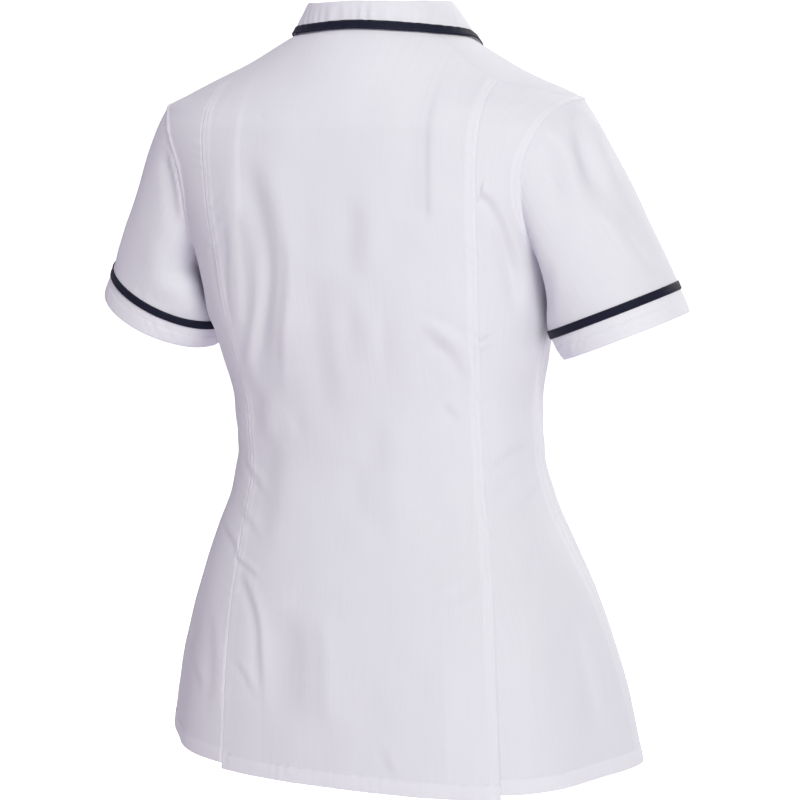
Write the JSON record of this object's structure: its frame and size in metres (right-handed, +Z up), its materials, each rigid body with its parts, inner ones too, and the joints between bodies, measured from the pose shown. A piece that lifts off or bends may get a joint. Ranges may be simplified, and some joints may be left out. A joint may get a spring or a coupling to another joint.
{
  "type": "work tunic",
  "caption": "Fitted short-sleeved work tunic with a turned-down collar, princess-seamed back, pleats, rear hem vents and narrow contrast trim, filled out as worn.",
  "frame": {"origin": "middle of the neck opening, level with the neck ends of the shoulders, where a wearer's shoulders carry the garment", "axes": "+Z up, along the wearer's back; -Y the way the wearer faces; +X towards the wearer's left arm"},
  "size_m": [0.572, 0.289, 0.706],
  "materials": {
    "cloth_white": "plain-weave polyester and cotton, cool white, very slight sheen",
    "tape_navy": "woven navy trim tape, matt",
    "button_white": "plain white moulded plastic"
  },
  "bodies": {
    "root": {"back_centre": "cloth_white", "side_back_left": "cloth_white", "side_back_right": "cloth_white", "vent_underlap_left": "cloth_white", "vent_underlap_right": "cloth_white", "front_left": "cloth_white", "front_right": "cloth_white", "sleeve_left": "cloth_white", "sleeve_right": "cloth_white", "collar_stand": "cloth_white", "collar_fall": "cloth_white", "collar_tape": "tape_navy", "sleeve_tape_left": "tape_navy", "sleeve_tape_right": "tape_navy", "button_1": "button_white", "button_2": "button_white", "button_3": "button_white", "button_4": "button_white", "button_5": "button_white", "button_6": "button_white"}
  },
  "joints": []
}
